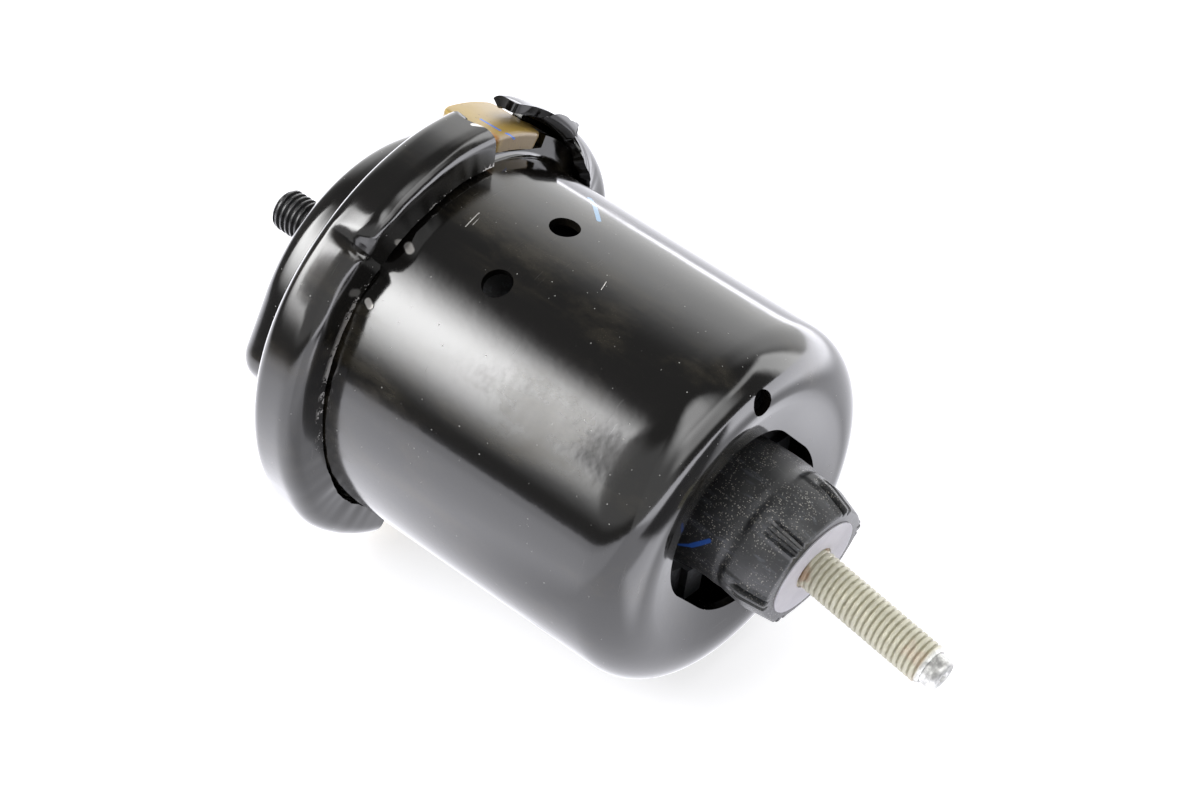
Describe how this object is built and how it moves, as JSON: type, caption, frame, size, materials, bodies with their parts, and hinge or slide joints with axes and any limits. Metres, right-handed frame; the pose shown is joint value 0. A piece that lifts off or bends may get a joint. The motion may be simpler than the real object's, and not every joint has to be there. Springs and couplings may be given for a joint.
{
  "type": "hydraulic engine mount",
  "caption": "Hydraulic engine mount: a deep-drawn can crimped to a studded base dish, with a rubber-sleeved core and its long leaning stud in the can's open face.",
  "frame": {"origin": "centre of the base's mounting face, where the dish rests on the subframe", "axes": "+Z from the base up through the core to its stud; -Y is the side with the can's upper wall hole and the front base stud; +X is to the right of someone who looks along +Y"},
  "size_m": [0.1108, 0.1108, 0.1846],
  "materials": {
    "can": "gloss black coating",
    "base": "gloss black coating",
    "base_stud": "black phosphated steel",
    "pin": "black phosphated steel",
    "core": "machined end, cast flanks",
    "core_stud": "yellow zinc plate",
    "sleeve": "semi-matte",
    "rebound_plate": "plain",
    "buffer": "matte",
    "carrier": "plain",
    "spring": "matte",
    "upper_track": "die cast",
    "lower_track": "tan nylon",
    "membrane": "matte",
    "bellows": "matte",
    "bellows_ring": "plain",
    "seal": "matte"
  },
  "bodies": {
    "root": {"outer_can": "can", "base_cover": "base", "base_studs": "base_stud", "locating_pin": "pin", "core": "core", "core_stud": "core_stud", "core_sleeve": "sleeve", "rebound_plate": "rebound_plate", "rebound_buffer": "buffer", "carrier_ring": "carrier", "main_spring": "spring", "upper_track_plate": "upper_track", "lower_track_plate": "lower_track", "decoupler_membrane": "membrane", "bellows": "bellows", "bellows_ring": "bellows_ring", "flange_seal": "seal"}
  },
  "joints": []
}
